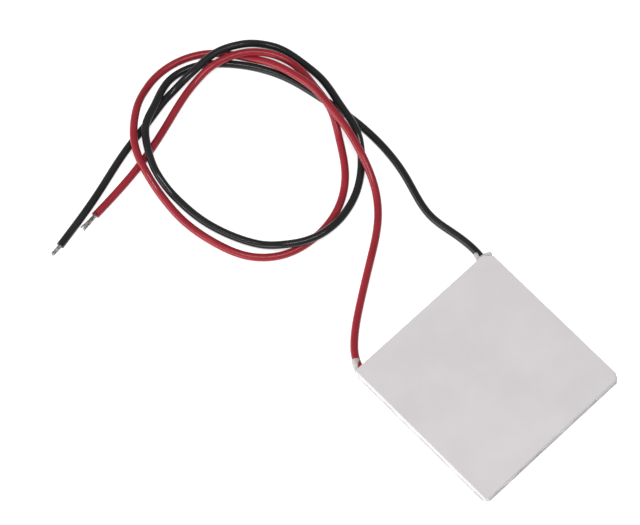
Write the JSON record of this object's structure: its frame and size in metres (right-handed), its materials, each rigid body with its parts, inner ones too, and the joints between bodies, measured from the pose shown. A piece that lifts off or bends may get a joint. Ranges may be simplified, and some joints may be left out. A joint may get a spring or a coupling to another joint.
{
  "type": "thermoelectric cooling module",
  "caption": "Square thermoelectric cooling module: ceramic plates round rows of semiconductor pellets, sealed at the edge, with a red and a black lead in a loose loop.",
  "frame": {"origin": "centre of the hot plate's outer face, at the bottom", "axes": "+Z through the plates towards the cold face; the leads leave at -X, the red one at the -Y corner and the black one at the +Y corner"},
  "size_m": [0.1218, 0.0721, 0.0054],
  "materials": {
    "alumina": "matt, lightly mottled",
    "copper": "bare copper, plain",
    "n_semiconductor": "grey metallic, sawn",
    "p_semiconductor": "grey metallic, sawn",
    "silicone": "soft white silicone rubber",
    "solder": "bright solder",
    "tinned_wire": "tinned copper strands",
    "red_insulation": "smooth extruded insulation with a soft gloss",
    "black_insulation": "smooth extruded insulation with a soft gloss"
  },
  "bodies": {
    "root": {"hot_plate": "alumina", "cold_plate": "alumina", "hot_link_tabs": "copper", "cold_link_tabs": "copper", "cold_turn_tabs": "copper", "red_terminal_tab": "copper", "black_terminal_tab": "copper", "n_type_pellets": "n_semiconductor", "p_type_pellets": "p_semiconductor", "edge_sealant": "silicone", "red_lead_core": "tinned_wire", "black_lead_core": "tinned_wire", "red_solder_joint": "solder", "black_solder_joint": "solder", "red_exit_sealant": "silicone", "black_exit_sealant": "silicone", "red_lead": "red_insulation", "black_lead": "black_insulation", "red_lead_strands": "tinned_wire", "black_lead_tinned_end": "tinned_wire"}
  },
  "joints": []
}
